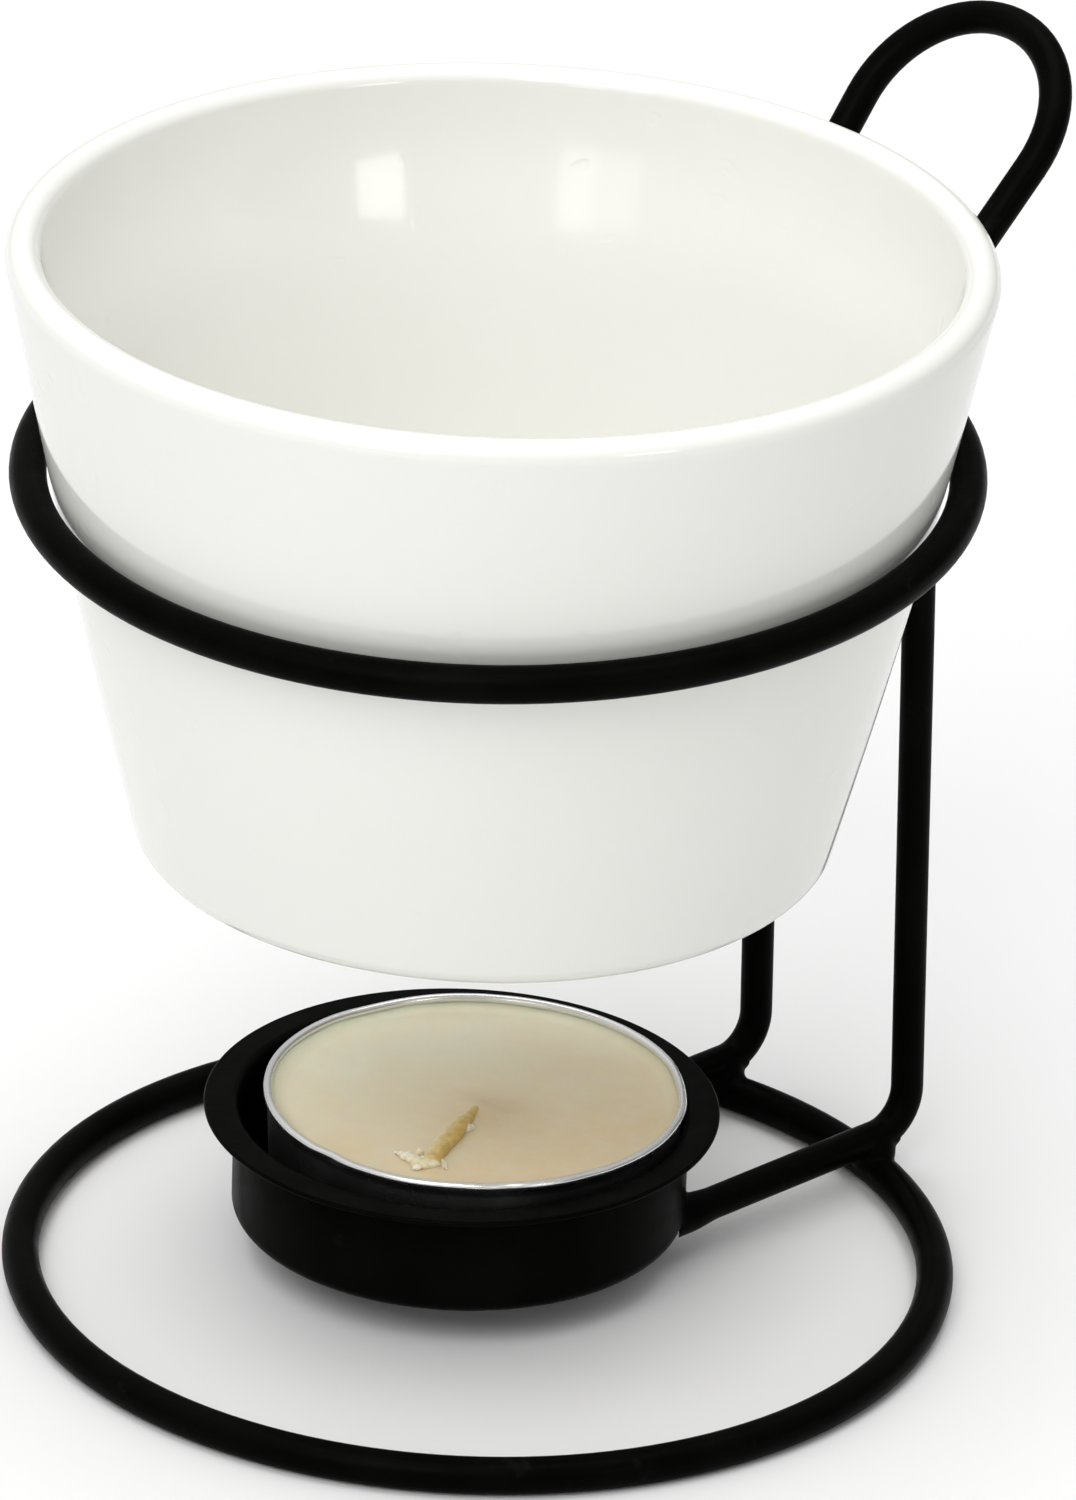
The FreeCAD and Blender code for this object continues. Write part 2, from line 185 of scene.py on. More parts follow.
class Shader:
    """A material's node tree with short calls for the nodes that it uses."""

    def __init__(self, name):
        self.material = bpy.data.materials.new(name)
        self.material.use_nodes = True
        self.tree = self.material.node_tree
        self.surface = self.tree.nodes["Principled BSDF"]
        self.place = self.tree.nodes.new("ShaderNodeTexCoord").outputs["Object"]

    def node(self, kind, **settings):
        made = self.tree.nodes.new("ShaderNode" + kind)
        for key, value in settings.items():
            setattr(made, key, value)
        return made

    def link(self, source, target):
        self.tree.links.new(source, target)

    def noise(self, scale, detail=4.0, roughness=0.5):
        """Noise in object space. Scale counts features over one metre."""
        made = self.node("TexNoise")
        made.inputs["Scale"].default_value = scale
        made.inputs["Detail"].default_value = detail
        made.inputs["Roughness"].default_value = roughness
        self.link(self.place, made.inputs["Vector"])
        return made.outputs["Fac"]

    def distance(self, point):
        """Distance in metres from a point of the object."""
        made = self.node("VectorMath", operation="DISTANCE")
        self.link(self.place, made.inputs[0])
        made.inputs[1].default_value = point
        return made.outputs["Value"]

    def along(self, direction):
        """Distance in metres along a direction from the object's origin."""
        made = self.node("VectorMath", operation="DOT_PRODUCT")
        self.link(self.place, made.inputs[0])
        made.inputs[1].default_value = direction
        return made.outputs["Value"]

    def height(self):
        made = self.node("SeparateXYZ")
        self.link(self.place, made.inputs["Vector"])
        return made.outputs["Z"]

    def ranged(self, value, low, high, to_low, to_high):
        made = self.node("MapRange")
        made.inputs["From Min"].default_value = low
        made.inputs["From Max"].default_value = high
        made.inputs["To Min"].default_value = to_low
        made.inputs["To Max"].default_value = to_high
        self.link(value, made.inputs["Value"])
        return made.outputs["Result"]

    def product(self, first, second):
        made = self.node("Math", operation="MULTIPLY")
        self.link(first, made.inputs[0])
        self.link(second, made.inputs[1])
        return made.outputs["Value"]

    def total(self, first, second):
        made = self.node("Math", operation="ADD")
        self.link(first, made.inputs[0])
        self.link(second, made.inputs[1])
        return made.outputs["Value"]

    def ramp(self, value, *stops):
        """Colour ramp between two (position, (r, g, b)) stops."""
        made = self.node("ValToRGB")
        for element, (position, colour) in zip(made.color_ramp.elements, stops):
            element.position = position
            element.color = (*colour, 1)
        self.link(value, made.inputs["Fac"])
        return made.outputs["Color"]

    def mixed(self, amount, first, second):
        """Mix of two colours, each a socket or an (r, g, b) tuple."""
        made = self.node("Mix", data_type="RGBA")
        self.link(amount, made.inputs[0])
        for socket, value in ((made.inputs[6], first), (made.inputs[7], second)):
            if isinstance(value, tuple):
                socket.default_value = (*value, 1)
            else:
                self.link(value, socket)
        return made.outputs[2]

    def bump(self, height, distance, strength=1.0, under=None):
        made = self.node("Bump")
        made.inputs["Distance"].default_value = distance
        made.inputs["Strength"].default_value = strength
        self.link(height, made.inputs["Height"])
        if under is not None:
            self.link(under, made.inputs["Normal"])
        return made.outputs["Normal"]

    def set(self, **values):
        """Constants on the surface shader's own sockets, named with underscores."""
        for key, value in values.items():
            self.surface.inputs[key.replace("_", " ")].default_value = value

    def join(self, **sockets):
        for key, value in sockets.items():
            self.link(value, self.surface.inputs[key.replace("_", " ")])


# Materials


def glaze(foot_height):
    """Glossy warm white glaze. The foot's flat underside is left unglazed."""
    s = Shader("white_glaze")
    bare = s.ranged(s.height(), foot_height + 0.25 * MM, foot_height + 0.1 * MM, 0, 1)
    glazed = s.ramp(s.noise(18, detail=1), (0.3, (0.77, 0.77, 0.73)), (0.7, (0.80, 0.80, 0.765)))
    s.join(Base_Color=s.mixed(bare, glazed, (0.62, 0.59, 0.53)))
    gloss = s.ranged(s.noise(70, detail=2), 0.3, 0.7, 0.06, 0.12)
    s.join(Roughness=s.total(gloss, s.ranged(bare, 0, 1, 0, 0.6)))
    waves = s.bump(s.noise(45, detail=1), 0.2 * MM, 0.35)
    pits = s.ranged(s.noise(420, detail=0), 0.76, 0.82, 0, -1)
    s.join(Normal=s.bump(pits, 0.03 * MM, 0.6, waves))
    return s.material


def coating(name, orange_peel):
    """Satin black coating with a fine orange peel and faint scuffs."""
    s = Shader(name)
    scuffs = s.ranged(s.noise(210, detail=4, roughness=0.7), 0.62, 0.72, 0, 1)
    tone = s.ramp(s.noise(120), (0.35, (0.0012, 0.0012, 0.0010)), (0.7, (0.0024, 0.0024, 0.0021)))
    s.join(Base_Color=s.mixed(scuffs, tone, (0.005, 0.005, 0.0047)))
    satin = s.ranged(s.noise(400, detail=2), 0.3, 0.7, 0.30, 0.42)
    s.join(Roughness=s.total(satin, s.ranged(scuffs, 0, 1, 0, 0.15)))
    swell = s.bump(s.noise(260), 0.08 * MM, 0.4)
    s.join(Normal=s.bump(s.noise(2600, detail=2), orange_peel, 0.4, swell))
    s.set(Specular_IOR_Level=0.015)
    return s.material


def aluminium():
    """Thin bright aluminium, a little uneven."""
    s = Shader("thin_aluminium")
    s.join(Base_Color=s.ramp(s.noise(150), (0.3, (0.84, 0.84, 0.83)), (0.7, (0.91, 0.91, 0.90))))
    s.join(Roughness=s.ranged(s.noise(150, detail=2), 0.3, 0.7, 0.25, 0.29))
    s.join(Normal=s.bump(s.noise(120, detail=0), 0.02 * MM, 0.2))
    s.set(Metallic=1.0)
    return s.material


def wax(middle, brown_patch_place):
    """Cream wax with a dull mottled skin, paler towards the back side as painted light, and browner beside
    the wick's root.
    """
    s = Shader("cream_wax")
    # Painted light: the skin's colour grows paler and less brown towards the back side, standing for the
    # light that falls more on that side
    side = Vector((0.3, 0.954, 0))
    across = s.ranged(s.along(side), middle.dot(side) - 14 * MM, middle.dot(side) + 14 * MM, 0, 1)
    painted_light_share = s.total(across, s.ranged(s.noise(95, detail=2), 0.35, 0.65, -0.18, 0.18))
    broad = s.ramp(painted_light_share, (0.0, (0.82, 0.665, 0.42)), (1.0, (0.895, 0.845, 0.64)))
    mottle = s.ranged(s.noise(480, detail=6, roughness=0.65), 0.45, 0.75, 0, 0.35)
    skin = s.mixed(mottle, broad, (0.86, 0.81, 0.66))
    # A browner patch beside the wick's root, fading out over 6.5 mm
    near = s.ranged(s.distance(brown_patch_place), 0, 6.5 * MM, 0.75, 0)
    brown_patch = s.product(near, s.ranged(s.noise(260, detail=3), 0.3, 0.65, 0.5, 1))
    s.join(Base_Color=s.mixed(brown_patch, skin, (0.62, 0.45, 0.24)))
    s.join(Roughness=s.ranged(s.noise(600), 0.3, 0.7, 0.30, 0.48))
    swell = s.bump(s.noise(160, detail=2), 0.25 * MM, 0.4)
    s.join(Normal=s.bump(s.noise(700, detail=5), 0.06 * MM, 0.5, swell))
    s.set(Subsurface_Weight=0.3, Subsurface_Scale=0.0015, Specular_IOR_Level=0.6)
    return s.material


def wax_crust():
    """Broken whiter wax that clings to the wick's end."""
    s = Shader("wax_crust")
    s.join(Base_Color=s.ramp(s.noise(700), (0.35, (0.88, 0.76, 0.50)), (0.65, (0.95, 0.89, 0.77))))
    s.join(Roughness=s.ranged(s.noise(1500), 0.3, 0.7, 0.35, 0.6))
    s.join(Normal=s.bump(s.noise(2400, detail=4), 0.05 * MM, 0.6))
    s.set(Subsurface_Weight=0.2, Subsurface_Scale=0.0008)
    return s.material


def wick_cotton(root, left):
    """Tan cotton soaked in wax, golden along one side and caked with paler wax along the other."""
    s = Shader("waxed_wick")
    fibres = s.noise(1500, detail=4)
    golden = s.ramp(fibres, (0.3, (0.60, 0.41, 0.10)), (0.7, (0.76, 0.56, 0.20)))
    caked = s.ramp(fibres, (0.3, (0.80, 0.65, 0.37)), (0.7, (0.90, 0.78, 0.52)))
    middle = root.dot(left)
    across = s.ranged(s.along(left), middle - 0.35 * MM, middle + 0.7 * MM, 0, 1)
    s.join(Base_Color=s.mixed(s.product(across, s.ranged(s.noise(420), 0.3, 0.6, 0.4, 1)), golden, caked))
    s.join(Roughness=s.ranged(s.noise(1300), 0.3, 0.7, 0.32, 0.55))
    s.join(Normal=s.bump(s.noise(2600, detail=3), 0.04 * MM, 0.5))
    s.set(Subsurface_Weight=0.35, Subsurface_Scale=0.001)
    return s.material


def steel():
    s = Shader("plain_steel")
    s.join(Base_Color=s.ramp(s.noise(500), (0.3, (0.42, 0.42, 0.41)), (0.7, (0.58, 0.58, 0.57))))
    s.join(Roughness=s.ranged(s.noise(800), 0.3, 0.7, 0.3, 0.5))
    s.set(Metallic=1.0)
    return s.material


def pale_floor():
    s = Shader("pale_floor")
    s.join(Base_Color=s.ramp(s.noise(3, detail=0), (0.3, (0.80, 0.80, 0.80)), (0.7, (0.82, 0.82, 0.82))))
    s.set(Roughness=0.9, Specular_IOR_Level=0.1)
    return s.material


# Mesh helpers, all in millimetres until a piece is made


def piece(name, vertices, faces, material):
    """Smooth mesh object that rides with the part."""
    mesh = bpy.data.meshes.new(name)
    mesh.from_pydata([Vector(v) * MM for v in vertices], [], faces)
    mesh.shade_smooth()
    mesh.materials.append(material)
    made = bpy.data.objects.new(name, mesh)
    bpy.context.scene.collection.objects.link(made)
    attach(made, "root")
    return made


def strips(rows, columns):
    """Quads between rows of points that each close round."""
    faces = []
    for row in range(rows - 1):
        for column in range(columns):
            after = (column + 1) % columns
            a = row * columns
            b = a + columns
            faces.append((a + column, a + after, b + after, b + column))
    return faces


def turned(rows, columns):
    """Strips whose first row is closed on the near side and last row on the far side."""
    faces = strips(rows, columns)
    faces.append(tuple(reversed(range(columns))))
    faces.append(tuple(range((rows - 1) * columns, rows * columns)))
    return faces


def flipped(faces):
    return [tuple(reversed(face)) for face in faces]


def bell(distance, width):
    return math.exp(-(distance / width) ** 2)


def eased(value):
    value = min(1.0, max(0.0, value))
    return value * value * (3 - 2 * value)


def around(azimuth, from_azimuth):
    """Signed difference of two azimuths in degrees."""
    return (azimuth - from_azimuth + 180) % 360 - 180


def speckle(x, y, z, size):
    """Smooth noise from -1 to 1 with features of the given size."""
    return noise.noise(Vector((x, y, z)) / size)


def tube(path, section, sides):
    """Vertices and faces of a closed tube. Section gives the half width and half height at a row."""
    vertices = []
    for row, point in enumerate(path):
        before = path[max(row - 1, 0)]
        after = path[min(row + 1, len(path) - 1)]
        ahead = (after - before).normalized()
        side = ahead.cross(Vector((0, 0, 1)))
        # An upright run has no level side of its own, so the wick's way is crossed instead
        if side.length < 0.1:
            side = ahead.cross(wick_ways()[0])
        side.normalize()
        up = side.cross(ahead)
        for column in range(sides):
            angle = 2 * math.pi * column / sides
            wide, high = section(row, angle)
            vertices.append(point + side * wide * math.cos(angle) + up * high * math.sin(angle))
    return vertices, flipped(turned(len(path), sides))


def round_rod(path, radius):
    sides = 24
    return tube(path, lambda row, angle: (radius, radius), sides)


def joined(parts):
    """One list of vertices and faces from several."""
    vertices = []
    faces = []
    for some, others in parts:
        first = len(vertices)
        vertices.extend(some)
        faces.extend(tuple(first + corner for corner in face) for face in others)
    return vertices, faces


def round_ball(radius):
    """Vertices and faces of a ball round the origin."""
    ball = bmesh.new()
    bmesh.ops.create_icosphere(ball, subdivisions=3, radius=radius)
    ball.verts.index_update()
    vertices = [vertex.co.copy() for vertex in ball.verts]
    faces = [tuple(vertex.index for vertex in face.verts) for face in ball.faces]
    ball.free()
    return vertices, faces


def lump(centre, size, seed):
    """Uneven wax lump, its size given as three half axes."""
    places, faces = round_ball(1)
    vertices = []
    for at in places:
        swell = 1 + 0.28 * speckle(at.x + seed, at.y, at.z, 0.8)
        swell += 0.12 * speckle(at.x, at.y + seed, at.z, 0.3)
        vertices.append(centre + Vector((at.x * size[0], at.y * size[1], at.z * size[2])) * swell)
    return vertices, faces


# Bowl


def arc_points(centre, radius, start, end, steps):
    """Points (r, z) of an arc, its angles in degrees."""
    points = []
    for step in range(steps + 1):
        turn = math.radians(start + (end - start) * step / steps)
        points.append((centre[0] + radius * math.cos(turn), centre[1] + radius * math.sin(turn)))
    return points


def bowl_profile(rim_radius, foot, top):
    """Outline (r, z) of the bowl from under its foot, up the wall, over the lip and down inside."""
    lip = BOWL_WALL / 2
    lip_centre = (rim_radius - lip, top - lip)
    slope = math.degrees(math.atan2(rim_radius - BOWL_BASE_RADIUS, top - lip - foot))
    tilt = math.radians(slope)
    low_radius = BOWL_BASE_RADIUS + BOWL_CORNER * (math.tan(tilt) + 1 - 1 / math.cos(tilt))
    corner_centre = (low_radius - BOWL_CORNER * math.cos(tilt), foot + BOWL_CORNER)
    corner = arc_points(corner_centre, BOWL_CORNER, -90, -slope, 10)
    over = arc_points(lip_centre, lip, -slope, 180 - slope, 28)
    recess = foot + BOWL_RECESS_DEPTH
    under = [(0.01, recess), (BOWL_RECESS_RADIUS - BOWL_RECESS_EDGE, recess), (BOWL_RECESS_RADIUS, foot)]
    wall = []
    wall_steps = 40
    for step in range(1, wall_steps):
        share = step / wall_steps
        bulge = 4 * BOWL_BULGE * share * (1 - share)
        r = corner[-1][0] + (over[0][0] - corner[-1][0]) * share + bulge
        wall.append((r, corner[-1][1] + (over[0][1] - corner[-1][1]) * share))
    floor_level = foot + BOWL_FLOOR
    bend_start = floor_level + BOWL_FLOOR_CORNER * (1 - math.sin(tilt))
    inside = []
    r, z = over[-1]
    steps = 90
    drop = (z - bend_start) / steps
    for step in range(steps):
        extra = SHOULDER_SLOPE * bell(top - SHOULDER_BELOW_RIM - z, SHOULDER_SPREAD)
        r -= drop * math.tan(math.radians(slope + extra))
        z -= drop
        inside.append((r, z))
    floor_centre = (r - BOWL_FLOOR_CORNER * math.cos(tilt), floor_level + BOWL_FLOOR_CORNER)
    bottom = arc_points(floor_centre, BOWL_FLOOR_CORNER, -slope, -90, 16)[1:]
    return under + corner + wall + over + inside + bottom + [(0.01, floor_level)]


def bowl(material):
    """Glazed bowl whose wall thickens a little below the lip and is nowhere perfectly round."""
    low, high = (Vector(corner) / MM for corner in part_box("bowl"))
    centre = (low + high) / 2
    columns = 320
    profile = bowl_profile((high.x - low.x) / 2, low.z, high.z)
    vertices = []
    for r, z in profile:
        for column in range(columns):
            turn = 2 * math.pi * column / columns
            x = math.cos(turn)
            y = math.sin(turn)
            uneven = 0.06 * speckle(30 * x, 30 * y, z, 26.0) * min(1.0, r / 20)
            vertices.append((centre.x + (r + uneven) * x, centre.y + (r + uneven) * y, z))
    glazed = piece("bowl_glazed", vertices, turned(len(profile), columns), material)
    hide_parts("bowl")


# Tealight


Tealight = namedtuple("Tealight", "x y rim_radius bottom top wax_level")


def tealight_sizes():
    """Centre, rim radius, bottom, rim top and wax level of the tealight, in millimetres."""
    low, high = (Vector(corner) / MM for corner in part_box("tealight_shell"))
    wax_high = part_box("candle_wax")[1][2] / MM
    centre = (low + high) / 2
    return Tealight(centre.x, centre.y, (high.x - low.x) / 2, low.z, high.z, wax_high - WAX_MENISCUS)


def shell_profile(rim_radius, bottom, top):
    """Closed outline (r, z) of the shell: outside, rolled rim, inside, both down to the floor's centre."""
    wall = rim_radius - SHELL_BEAD
    foot_r = wall - SHELL_TAPER - SHELL_FOOT_RADIUS
    raised = bottom + SHELL_DIMPLE_HEIGHT
    outside = [(0.01, raised), (SHELL_DIMPLE_RADIUS, raised)]
    outside.append((SHELL_DIMPLE_RADIUS + SHELL_DIMPLE_HEIGHT, bottom))
    wall_low = bottom + SHELL_FOOT_RADIUS
    wall_high = top - 2 * SHELL_BEAD
    outside.extend(arc_points((foot_r, wall_low), SHELL_FOOT_RADIUS, -90, 0, 8))
    wall_steps = 12
    for step in range(1, wall_steps + 1):
        share = step / wall_steps
        outside.append((wall - SHELL_TAPER * (1 - share), wall_low + (wall_high - wall_low) * share))
    bead = arc_points((wall, top - SHELL_BEAD), SHELL_BEAD, -80, 180, 16)
    inside = [(max(0.01, r - SHELL_SHEET), z + SHELL_SHEET * (r < foot_r)) for r, z in reversed(outside)]
    return outside + bead + inside


def rim_dent(azimuth):
    """How far the rim is pushed in at an azimuth."""
    turn = math.radians(azimuth)
    depth = 0.10 * noise.noise(Vector((math.cos(turn), math.sin(turn), 2.3)) * 2.2)
    for place, width, amount in RIM_DENTS:
        depth += amount * bell(around(azimuth, place), width)
    return depth


def tealight_shell(material):
    """Shell with a rolled rim that wavers and has small dents."""
    sizes = tealight_sizes()
    columns = 360
    profile = shell_profile(sizes.rim_radius, sizes.bottom, sizes.top)
    vertices = []
    for r, z in profile:
        near_rim = eased((z - sizes.top + 4.5) / 4.0)
        for column in range(columns):
            azimuth = 360 * column / columns
            turn = math.radians(azimuth)
            x = math.cos(turn)
            y = math.sin(turn)
            dent = rim_dent(azimuth)
            flutter = 0.02 * noise.noise(Vector((x * 9, y * 9, 0.5)))
            radius = r - near_rim * (dent + flutter)
            sag = 0.05 * noise.noise(Vector((x * 4, y * 4, 7.1)))
            drop = max(0.0, near_rim * (0.35 * dent + sag))
            vertices.append((sizes.x + radius * x, sizes.y + radius * y, z - drop))
    faces = turned(len(profile), columns)
    shell = piece("tealight_shell_rolled", vertices, faces, material)
    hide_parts("tealight_shell")


def wick_root():
    """Where the wick leaves the wax, at the wax's flat level."""
    sizes = tealight_sizes()
    return Vector((sizes.x + WICK_OFFSET[0], sizes.y + WICK_OFFSET[1], sizes.wax_level))


def wick_ways():
    """The way the wick lies, and the way to its left."""
    lie = math.radians(WICK_AZIMUTH)
    return Vector((math.cos(lie), math.sin(lie), 0)), Vector((math.sin(lie), -math.cos(lie), 0))


def wax_surface(x, y, edge):
    """Height of the wax over its flat level, at a distance x, y from its centre."""
    r = math.hypot(x, y)
    azimuth = math.atan2(y, x)
    waver = noise.noise(Vector((math.cos(azimuth), math.sin(azimuth), 5.0)) * 3)
    creep = WAX_MENISCUS * (1.45 + 0.5 * waver)
    height = creep * max(0.0, (r - edge + WAX_MENISCUS_WIDTH) / WAX_MENISCUS_WIDTH) ** 2
    height += 0.10 * speckle(x, y, 1.0, 7.0) + 0.035 * speckle(x, y, 2.0, 2.2)
    lie = math.radians(WICK_AZIMUTH)
    from_x = x - WICK_OFFSET[0]
    from_y = y - WICK_OFFSET[1]
    along = from_x * math.cos(lie) + from_y * math.sin(lie)
    across = from_x * math.sin(lie) - from_y * math.cos(lie)
    height += 0.35 * bell(math.hypot(along - 1.2, across), 1.6) - WAX_DISH * bell(r, WAX_DISH_RADIUS)
    ridge = WAX_RIDGE * bell(across, WAX_RIDGE_WIDTH)
    height += ridge * eased(along / 2) * eased((WICK_LENGTH + 1.2 - along) / 2)
    return height


def candle_wax(material):
    """Wax with a crept-up edge, a shallow dish and a ridge that the folded wick is stuck into."""
    sizes = tealight_sizes()
    edge = sizes.rim_radius - SHELL_BEAD - SHELL_SHEET - 0.05
    columns = 256
    rings = 110
    wall_steps = 8
    vertices = []
    for ring in range(rings):
        radius = edge * (ring + 0.02) / (rings - 1 + 0.02)
        for column in range(columns):
            turn = 2 * math.pi * column / columns
            dent = eased((radius - edge + 4) / 4) * rim_dent(math.degrees(turn))
            px = (radius - dent) * math.cos(turn)
            py = (radius - dent) * math.sin(turn)
            vertices.append((sizes.x + px, sizes.y + py, sizes.wax_level + wax_surface(px, py, edge)))
    wall_low = sizes.bottom + 2 * SHELL_SHEET + SHELL_DIMPLE_HEIGHT
    for step in range(1, wall_steps + 1):
        share = step / wall_steps
        radius = edge - SHELL_TAPER * share - 0.02
        z = sizes.wax_level + (wall_low - sizes.wax_level) * share
        for column in range(columns):
            turn = 2 * math.pi * column / columns
            vertices.append((sizes.x + radius * math.cos(turn), sizes.y + radius * math.sin(turn), z))
    faces = flipped(turned(rings + wall_steps, columns))
    cast = piece("candle_wax_cast", vertices, faces, material)
    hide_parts("candle_wax")


def wick_path(rows):
    """Centre line of the wick: up out of the wax, over, and along it to the frayed end."""
    root = wick_root()
    ahead, left = wick_ways()
    path = []
    for row in range(rows):
        along = -0.4 + (WICK_LENGTH + 0.4) * row / (rows - 1)
        rise = 0.12 + 0.50 * eased((along - 1.2) / 7.0) - 2.4 * eased((1.6 - along) / 2.0)
        rise += 0.12 * speckle(along, 0.0, 9.0, 3.5)
        sway = 0.28 * speckle(along, 0.0, 3.3, 6.0) + 0.08 * speckle(along, 5.0, 0.0, 1.8)
        path.append(root + ahead * along + left * sway + Vector((0, 0, rise)))
    return path


def folded_wick(material):
    """Flattened twisted cotton, thin where it leaves the wax and wide towards its end."""
    rows = 170
    sides = 40
    path = wick_path(rows)

    def section(row, angle):
        share = row / (rows - 1)
        swell = 0.30 + 0.62 * eased((share - 0.05) / 0.6) - 0.08 * eased((share - 0.85) / 0.15)
        twist = math.cos(3 * (angle - share * 2 * math.pi * 1.9))
        rough = speckle(share * WICK_LENGTH, 2 * math.cos(angle), 2 * math.sin(angle), 0.9)
        half = WICK_WIDTH / 2 * swell * (1 + 0.035 * twist + 0.10 * rough)
        return half, half * 0.72

    vertices, faces = tube(path, section, sides)
    wick = piece("wick_folded", vertices, faces, material)
    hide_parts("wick")


def frayed_end(material):
    """Loose fibres that fan out of the wick's end."""
    ahead, left = wick_ways()
    tip = wick_path(2)[-1]
    steps = 8
    fibres = []
    for count in range(WICK_FIBRES):
        spread = -1 + 2 * count / (WICK_FIBRES - 1)
        raised = Vector((0, 0, 0.25 * noise.noise(Vector((count, 0.5, 0)))))
        start = tip - ahead * 0.9 + left * spread * 0.7 + raised
        aim = (ahead + left * spread * 1.1).normalized()
        length = 1.3 + 0.7 * noise.noise(Vector((count * 1.7, 2.5, 0)))
        curl = 0.5 * noise.noise(Vector((count * 2.3, 7.5, 0)))
        lift = noise.noise(Vector((count * 3.1, 1.5, 0)))
        path = []
        for step in range(steps + 1):
            share = step / steps
            sag = Vector((0, 0, -0.35 * share * share + 0.3 * share * lift))
            path.append(start + aim * length * share + left * curl * share * share + sag)
        thin = 0.10 + 0.03 * noise.noise(Vector((count, 9.5, 0)))
        fibres.append(tube(path, lambda row, angle: (thin * (1 - 0.07 * row), thin * (1 - 0.07 * row)), 7))
    vertices, faces = joined(fibres)
    piece("wick_fibres", vertices, faces, material)


def wax_crumbs(material):
    """Whiter wax broken off round the wick's end, and one crumb halfway along it."""
    root = wick_root()
    ahead, left = wick_ways()
    lumps = []
    for count, (along, across, wide, high) in enumerate(WAX_CRUMBS):
        centre = root + ahead * along + left * across + Vector((0, 0, 0.55 * high + 0.12))
        lumps.append(lump(centre, (wide, wide * 0.85, high), 4.7 * count + 1))
    vertices, faces = joined(lumps)
    piece("wick_wax_crumbs", vertices, faces, material)


# Weld fillets


def smoothed_union(name, parts, voxel, rounds, material):
    """Pieces merged and relaxed, so that the creases between them fill in like a weld."""
    vertices, faces = joined(parts)
    made = piece(name, vertices, faces, material)
    remesh = made.modifiers.new("merge", "REMESH")
    remesh.mode = "VOXEL"
    remesh.voxel_size = voxel * MM
    relax = made.modifiers.new("relax", "SMOOTH")
    relax.factor = 0.5
    relax.iterations = rounds
    ready = made.evaluated_get(bpy.context.evaluated_depsgraph_get())
    mesh = bpy.data.meshes.new_from_object(ready)
    made.modifiers.clear()
    made.data = mesh
    mesh.shade_smooth()


def ring_arc(centre, radius, tilt, low_azimuth, azimuth, reach):
    """Points of a ring's centre line on both sides of an azimuth."""
    points = []
    for step in range(-6, 7):
        turn = math.radians(azimuth) + reach / radius * step / 6
        x = centre.x + radius * math.cos(turn)
        y = centre.y + radius * math.sin(turn)
        fall = radius * math.cos(turn - math.radians(low_azimuth)) * math.tan(math.radians(tilt))
        points.append(Vector((x, y, centre.z - fall)))
    return points


def straight(start, end, steps=8):
    return [start.lerp(end, step / steps) for step in range(steps + 1)]


def weld_blob(centre, size):
    """Bead of the union, wider than the solid's own, which it swallows."""
    places, faces = round_ball(size)
    return [centre + at for at in places], faces


def base_weld(side, material):
    """Where an arm lies on the base ring."""
    y = side * ARM_ACROSS
    azimuth = math.degrees(math.asin(y / BASE_RING_RADIUS))
    x = math.sqrt(BASE_RING_RADIUS ** 2 - y ** 2)
    ring = ring_arc(Vector((0, 0, RING_WIRE / 2)), BASE_RING_RADIUS, 0, 0, azimuth, WELD_REACH)
    arm = straight(Vector((x - 5, y, ARM_HEIGHT)), Vector((x + 2.6, y, ARM_HEIGHT)))
    crossing = Vector((x, y, RING_WIRE - WELD_SET_IN / 2))
    parts = [round_rod(ring, RING_WIRE / 2), round_rod(arm, FRAME_WIRE / 2), weld_blob(crossing, BASE_BEAD)]
    name = "weld_base_left" if side > 0 else "weld_base_right"
    smoothed_union(name, parts, RING_WELD_VOXEL, RING_WELD_ROUNDS, material)


def bowl_ring_sizes():
    """Centre and centre-line radius of the bowl ring."""
    low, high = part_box("bowl_ring")
    radius = (high[1] - low[1]) / 2 / MM - RING_WIRE / 2
    return Vector((BOWL_RING_SHIFT_X, 0, BOWL_RING_HEIGHT)), radius


def ring_weld(side, material):
    """Where an upright lies against the bowl ring."""
    centre, radius = bowl_ring_sizes()
    reach = radius + RING_WIRE / 2 + FRAME_WIRE / 2 - WELD_SET_IN
    azimuth = side * math.degrees(math.asin(UPRIGHT_ACROSS / reach))
    ring = ring_arc(centre, radius, BOWL_RING_TILT, BOWL_RING_LOW_AZIMUTH, azimuth, WELD_REACH)
    touch = ring[6]
    out = Vector((touch.x - centre.x, touch.y - centre.y, 0)).normalized()
    upright_at = touch + out * (reach - radius)
    upright = straight(upright_at - Vector((0, 0, 4)), upright_at + Vector((0, 0, 2.8)))
    crossing = touch + out * (RING_WIRE / 2 - WELD_SET_IN / 2)
    bead = weld_blob(crossing, RING_BEAD)
    parts = [round_rod(ring, RING_WIRE / 2), round_rod(upright, FRAME_WIRE / 2), bead]
    name = "weld_ring_left" if side > 0 else "weld_ring_right"
    smoothed_union(name, parts, RING_WELD_VOXEL, RING_WELD_ROUNDS, material)


def wall_block(centre, radius, azimuth, half_width, low, high, depth):
    """Closed block of a round wall, from its outside to a depth inside it."""
    vertices = []
    steps = 12
    for step in range(steps + 1):
        turn = math.radians(azimuth) + half_width / radius * (2 * step / steps - 1)
        for r, z in ((radius, low), (radius, high), (radius - depth, high), (radius - depth, low)):
            vertices.append(Vector((centre.x + r * math.cos(turn), centre.y + r * math.sin(turn), z)))
    return vertices, turned(steps + 1, 4)


